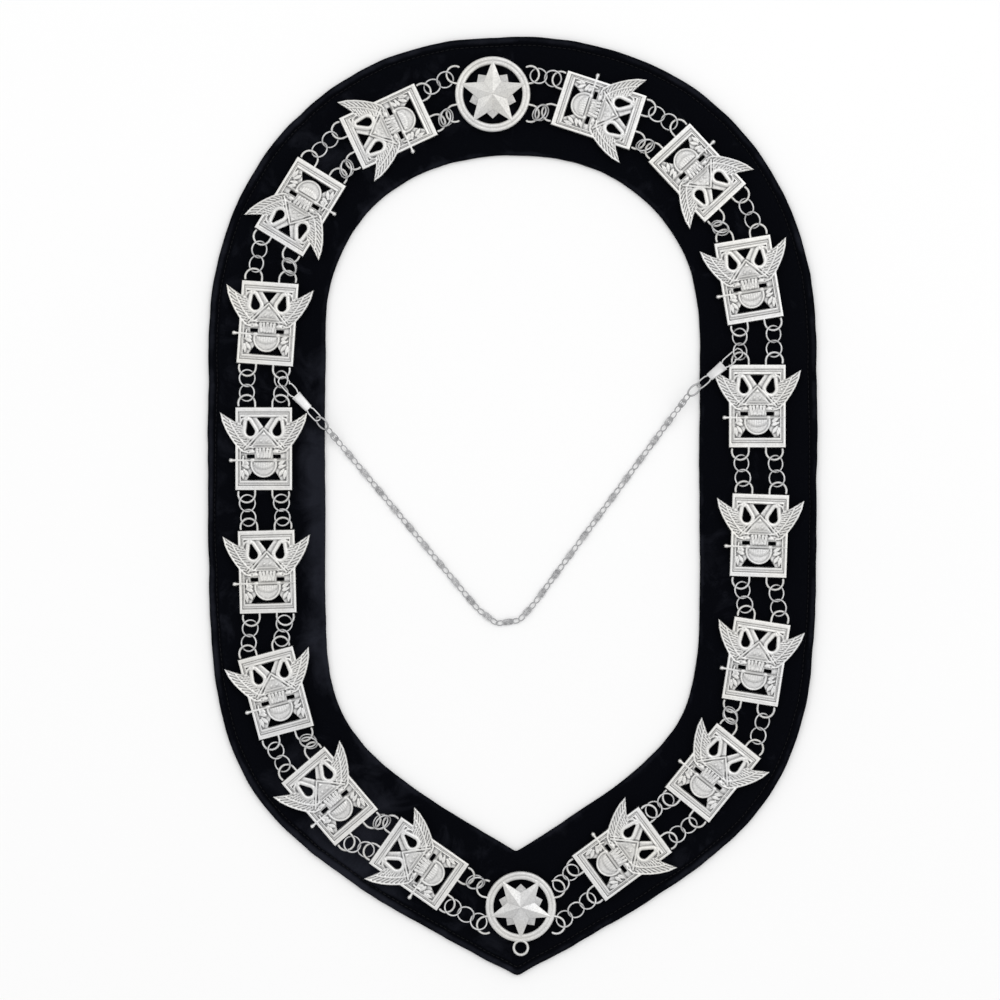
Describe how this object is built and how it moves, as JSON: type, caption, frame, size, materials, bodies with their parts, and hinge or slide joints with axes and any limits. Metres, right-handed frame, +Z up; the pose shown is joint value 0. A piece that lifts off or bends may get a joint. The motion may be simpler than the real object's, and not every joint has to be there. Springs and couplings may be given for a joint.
{
  "type": "ceremonial chain collar",
  "caption": "Padded velvet collar band, round at the nape and pointed in front, with a linked silver chain of cast eagle plaques, star medallions, jump rings, clips and a cross chain.",
  "frame": {"origin": "on the surface under the middle of the collar as it lies, halfway across and halfway along", "axes": "+Z up out of the surface, +Y towards the nape, +X to the viewer's right seen from above"},
  "size_m": [0.3904, 0.6022, 0.0133],
  "materials": {
    "velvet": "black crushed velvet pile with a blue-grey sheen",
    "silver": "cast and polished silver, satin in the hollows"
  },
  "bodies": {
    "root": {"velvet_band": "velvet", "medallion_nape": "silver", "plaque_left_1": "silver", "plaque_left_2": "silver", "plaque_left_3": "silver", "plaque_left_4": "silver", "plaque_left_5": "silver", "plaque_left_6": "silver", "plaque_left_7": "silver", "plaque_left_8": "silver", "medallion_front": "silver", "plaque_right_1": "silver", "plaque_right_2": "silver", "plaque_right_3": "silver", "plaque_right_4": "silver", "plaque_right_5": "silver", "plaque_right_6": "silver", "plaque_right_7": "silver", "plaque_right_8": "silver", "rings_outer_01": "silver", "rings_outer_02": "silver", "rings_outer_03": "silver", "rings_outer_04": "silver", "rings_outer_05": "silver", "rings_outer_06": "silver", "rings_outer_07": "silver", "rings_outer_08": "silver", "rings_outer_09": "silver", "rings_outer_10": "silver", "rings_outer_11": "silver", "rings_outer_12": "silver", "rings_outer_13": "silver", "rings_outer_14": "silver", "rings_outer_15": "silver", "rings_outer_16": "silver", "rings_outer_17": "silver", "rings_outer_18": "silver", "rings_inner_01": "silver", "rings_inner_02": "silver", "rings_inner_03": "silver", "rings_inner_04": "silver", "rings_inner_05": "silver", "rings_inner_06": "silver", "rings_inner_07": "silver", "rings_inner_08": "silver", "rings_inner_09": "silver", "rings_inner_10": "silver", "rings_inner_11": "silver", "rings_inner_12": "silver", "rings_inner_13": "silver", "rings_inner_14": "silver", "rings_inner_15": "silver", "rings_inner_16": "silver", "rings_inner_17": "silver", "rings_inner_18": "silver", "clip_left": "silver", "clip_right": "silver", "cross_chain_left": "silver", "cross_chain_right": "silver"}
  },
  "joints": []
}
